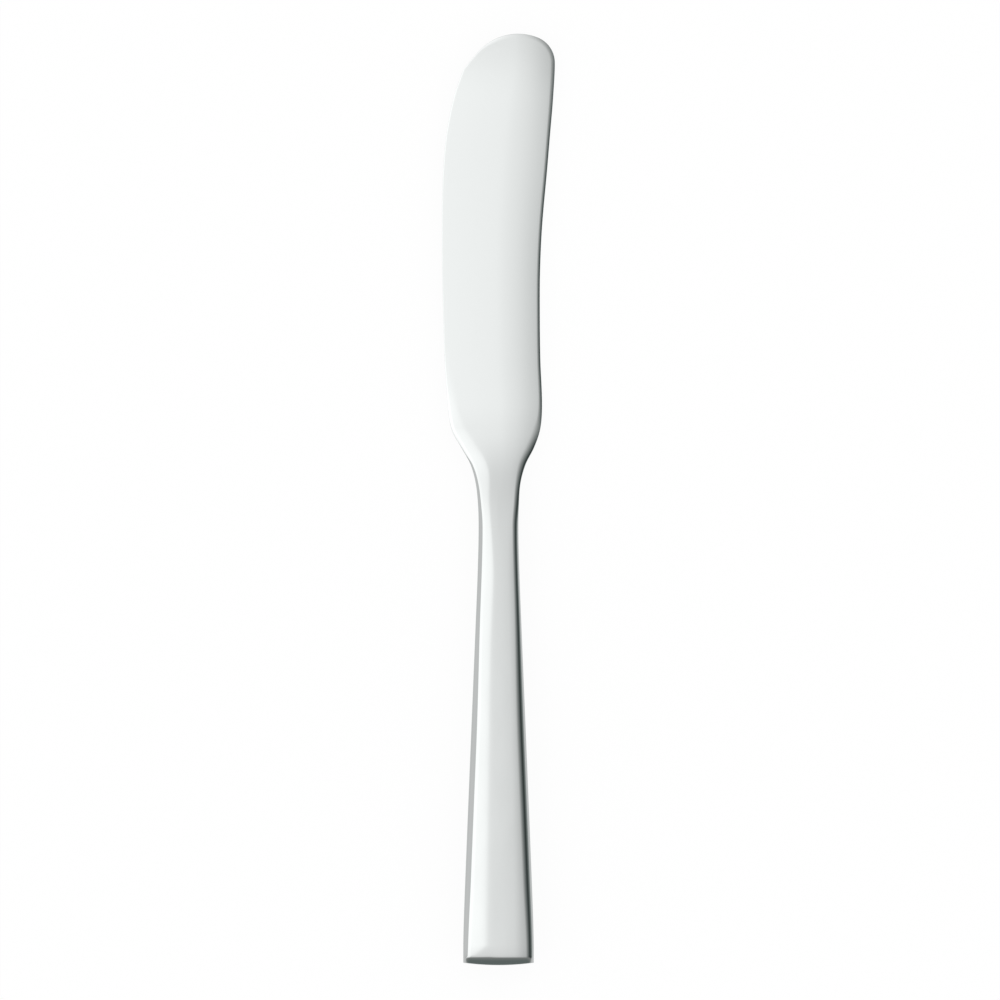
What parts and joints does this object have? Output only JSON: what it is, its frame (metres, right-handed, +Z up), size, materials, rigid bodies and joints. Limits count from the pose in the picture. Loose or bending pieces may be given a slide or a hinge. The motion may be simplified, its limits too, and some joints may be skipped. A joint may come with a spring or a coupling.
{
  "type": "butter knife",
  "caption": "Butter knife with a broad round-tipped spreading blade, sloping shoulders, a narrow neck and a bevelled hollow handle that widens to a square end.",
  "frame": {"origin": "on the table under the middle of the knife's length and width, with the knife lying on the back of its handle", "axes": "+Y along the knife towards the tip of the blade, +X across it towards the spine, +Z up out of the front face"},
  "size_m": [0.0206, 0.17, 0.0073],
  "materials": {
    "blade_steel": "bright polished stainless steel",
    "handle_steel": "bright polished stainless steel",
    "silver_braze": "silver brazing alloy, polished flush",
    "cement": "matte resin cement"
  },
  "bodies": {
    "root": {"blade": "blade_steel", "handle_front_shell": "handle_steel", "handle_back_shell": "handle_steel", "handle_braze": "silver_braze", "handle_cement": "cement"}
  },
  "joints": []
}
